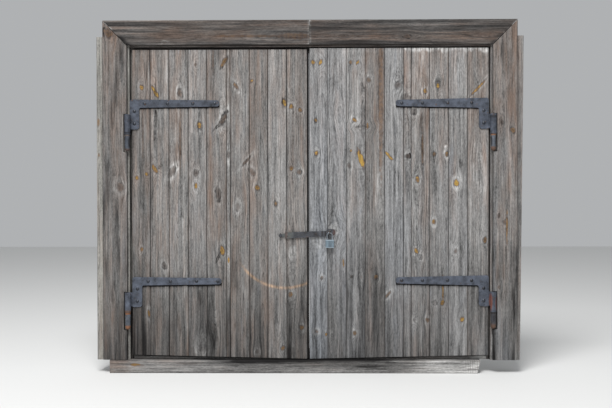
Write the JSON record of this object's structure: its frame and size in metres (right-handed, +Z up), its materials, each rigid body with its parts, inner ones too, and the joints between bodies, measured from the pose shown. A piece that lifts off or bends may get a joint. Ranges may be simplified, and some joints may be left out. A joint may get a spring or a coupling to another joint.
{
  "type": "barn door",
  "caption": "Weathered double-leaf barn door in its timber frame, with strap hinges, a swinging hasp and a padlock.",
  "frame": {"origin": "under the middle of the sill, on the plane it rests on, midway through its depth", "axes": "+X along the doorway to the right as seen from outside, +Y into the barn, +Z up"},
  "size_m": [2.996, 0.168, 2.473],
  "materials": {
    "weathered_boards": "bare softwood weathered to grey, with open grain and orange knots",
    "frame_timber": "bare sawn softwood weathered to brown grey",
    "back_timber": "bare sawn softwood, less weathered on the barn side",
    "forged_iron": "blue grey forged iron, dull, rust in the joints",
    "dark_iron": "brown grey forged iron, dull",
    "rusty_iron": "orange brown rust",
    "bolt_steel": "darkened steel",
    "lock_steel": "blue grey satin steel, pale bands",
    "shackle_steel": "dulled plated steel",
    "brass": "dull brass"
  },
  "bodies": {
    "frame": {"sill_beam": "frame_timber", "threshold": "frame_timber", "left_jamb_post": "frame_timber", "right_jamb_post": "frame_timber", "head_beam": "frame_timber", "left_casing": "frame_timber", "right_casing": "frame_timber", "left_head_casing": "frame_timber", "right_head_casing": "frame_timber", "left_lower_pintle": "forged_iron", "left_upper_pintle": "forged_iron", "right_lower_pintle": "forged_iron", "right_upper_pintle": "forged_iron", "hinge_washers": "rusty_iron"},
    "left_leaf": {"left_board_1": "weathered_boards", "left_board_2": "weathered_boards", "left_board_3": "weathered_boards", "left_board_4": "weathered_boards", "left_board_5": "weathered_boards", "left_board_6": "weathered_boards", "left_board_7": "weathered_boards", "left_board_8": "weathered_boards", "left_board_9": "weathered_boards", "left_board_10": "weathered_boards", "left_lower_ledge": "back_timber", "left_middle_ledge": "back_timber", "left_upper_ledge": "back_timber", "left_lower_brace": "back_timber", "left_upper_brace": "back_timber", "left_lower_strap_hinge": "forged_iron", "left_upper_strap_hinge": "forged_iron", "left_hinge_bolts": "bolt_steel", "left_hinge_nuts": "bolt_steel", "hasp_staple": "dark_iron"},
    "right_leaf": {"right_board_1": "weathered_boards", "right_board_2": "weathered_boards", "right_board_3": "weathered_boards", "right_board_4": "weathered_boards", "right_board_5": "weathered_boards", "right_board_6": "weathered_boards", "right_board_7": "weathered_boards", "right_board_8": "weathered_boards", "right_board_9": "weathered_boards", "right_board_10": "weathered_boards", "right_lower_ledge": "back_timber", "right_middle_ledge": "back_timber", "right_upper_ledge": "back_timber", "right_lower_brace": "back_timber", "right_upper_brace": "back_timber", "right_lower_strap_hinge": "forged_iron", "right_upper_strap_hinge": "forged_iron", "right_hinge_bolts": "bolt_steel", "right_hinge_nuts": "bolt_steel", "lock_staple": "dark_iron"},
    "hasp_link": {"hasp_link": "dark_iron"},
    "hasp_bar": {"hasp_bar": "dark_iron", "hasp_rivet": "dark_iron"},
    "padlock": {"padlock_body": "lock_steel", "lock_cylinder": "brass"},
    "shackle": {"shackle": "shackle_steel"}
  },
  "joints": [
    {"name": "left_leaf_swing", "type": "hinge", "parent": "frame", "child": "left_leaf", "pos_m": [-1.276, -0.071, 1.2], "axis": [0, 0, -1], "range_deg": [0, 170]},
    {"name": "right_leaf_swing", "type": "hinge", "parent": "frame", "child": "right_leaf", "pos_m": [1.282, -0.071, 1.2], "axis": [0, 0, 1], "range_deg": [0, 170]},
    {"name": "hasp_lift", "type": "hinge", "parent": "left_leaf", "child": "hasp_link", "pos_m": [-0.206, -0.06, 0.966], "axis": [0, 0, -1], "range_deg": [0, 170]},
    {"name": "hasp_drop", "type": "hinge", "parent": "hasp_link", "child": "hasp_bar", "pos_m": [-0.157, -0.056, 0.966], "axis": [0, 1, 0], "range_deg": [0, 90]},
    {"name": "padlock_swing", "type": "hinge", "parent": "right_leaf", "child": "padlock", "pos_m": [0.141, -0.07, 0.976], "axis": [0, 1, 0], "range_deg": [-35, 35]},
    {"name": "shackle_lift", "type": "slide", "parent": "padlock", "child": "shackle", "axis": [0, 0, 1], "range_m": [0, 0.005]}
  ]
}
